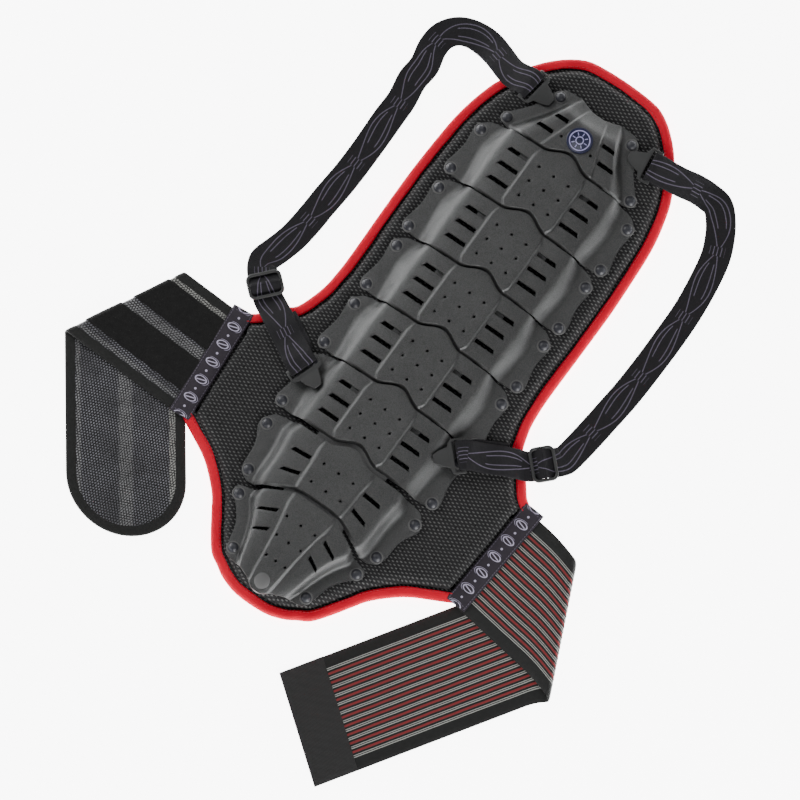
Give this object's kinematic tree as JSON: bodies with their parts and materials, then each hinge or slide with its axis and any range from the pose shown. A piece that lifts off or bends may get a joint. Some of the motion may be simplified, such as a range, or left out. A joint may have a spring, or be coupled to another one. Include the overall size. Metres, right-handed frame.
{
  "type": "back protector",
  "caption": "Articulated back protector: riveted overlapping armour plates on a bound foam pad, with two elastic shoulder straps and a folded waist belt.",
  "frame": {"origin": "middle of the foam pad's flat underside, on the surface that it lies on", "axes": "+X across the back towards the elastic half of the belt, +Y up the spine to the neck, +Z out of the armour"},
  "size_m": [0.5075, 0.6208, 0.0294],
  "materials": {
    "spacer_mesh": "black and grey spacer mesh over foam",
    "red_binding": "woven red tape",
    "grey_plastic": "brushed dark grey, satin",
    "rivet_plastic": "glossy dark grey",
    "badge": "navy with pale lines",
    "webbing": "black elastic webbing with lilac-grey printed lines",
    "black_plastic": "moulded, satin",
    "ribbon": "dark purple woven ribbon",
    "belt_mesh": "shiny open mesh with lighter stripes",
    "belt_binding": "black folded binding tape",
    "loop_pile": "black hook-and-loop pile",
    "elastic": "black ribbed elastic with grey and brick-red lines"
  },
  "bodies": {
    "root": {"back_pad": "spacer_mesh", "left_belt_binding": "belt_binding", "left_belt_mesh": "belt_mesh", "left_loop_band_lower": "loop_pile", "left_loop_band_upper": "loop_pile", "lower_hook_left": "black_plastic", "lower_hook_right": "black_plastic", "pad_binding_lower": "red_binding", "pad_binding_upper": "red_binding", "plate_1": "grey_plastic", "plate_2": "grey_plastic", "plate_3": "grey_plastic", "plate_4": "grey_plastic", "plate_5": "grey_plastic", "plate_6": "grey_plastic", "plate_7": "grey_plastic", "plate_8": "grey_plastic", "plate_badge": "badge", "right_belt_elastic": "elastic", "right_belt_patch": "loop_pile", "rivet_1_lower_left": "rivet_plastic", "rivet_1_lower_right": "rivet_plastic", "rivet_1_upper_left": "rivet_plastic", "rivet_1_upper_right": "rivet_plastic", "rivet_2_lower_left": "rivet_plastic", "rivet_2_lower_right": "rivet_plastic", "rivet_2_upper_left": "rivet_plastic", "rivet_2_upper_right": "rivet_plastic", "rivet_3_lower_left": "rivet_plastic", "rivet_3_lower_right": "rivet_plastic", "rivet_3_upper_left": "rivet_plastic", "rivet_3_upper_right": "rivet_plastic", "rivet_4_lower_left": "rivet_plastic", "rivet_4_lower_right": "rivet_plastic", "rivet_4_upper_left": "rivet_plastic", "rivet_4_upper_right": "rivet_plastic", "rivet_5_lower_left": "rivet_plastic", "rivet_5_lower_right": "rivet_plastic", "rivet_5_upper_left": "rivet_plastic", "rivet_5_upper_right": "rivet_plastic", "rivet_6_lower_left": "rivet_plastic", "rivet_6_lower_right": "rivet_plastic", "rivet_6_upper_left": "rivet_plastic", "rivet_6_upper_right": "rivet_plastic", "rivet_7_lower_left": "rivet_plastic", "rivet_7_lower_right": "rivet_plastic", "rivet_7_upper_left": "rivet_plastic", "rivet_7_upper_right": "rivet_plastic", "rivet_8_lower_left": "rivet_plastic", "rivet_8_lower_right": "rivet_plastic", "rivet_8_upper_left": "rivet_plastic", "rivet_8_upper_right": "rivet_plastic", "shoulder_strap_left": "webbing", "shoulder_strap_right": "webbing", "side_tape_left": "ribbon", "side_tape_right": "ribbon", "strap_adjuster_left": "black_plastic", "strap_adjuster_right": "black_plastic", "upper_hook_left": "black_plastic", "upper_hook_right": "black_plastic"}
  },
  "joints": []
}
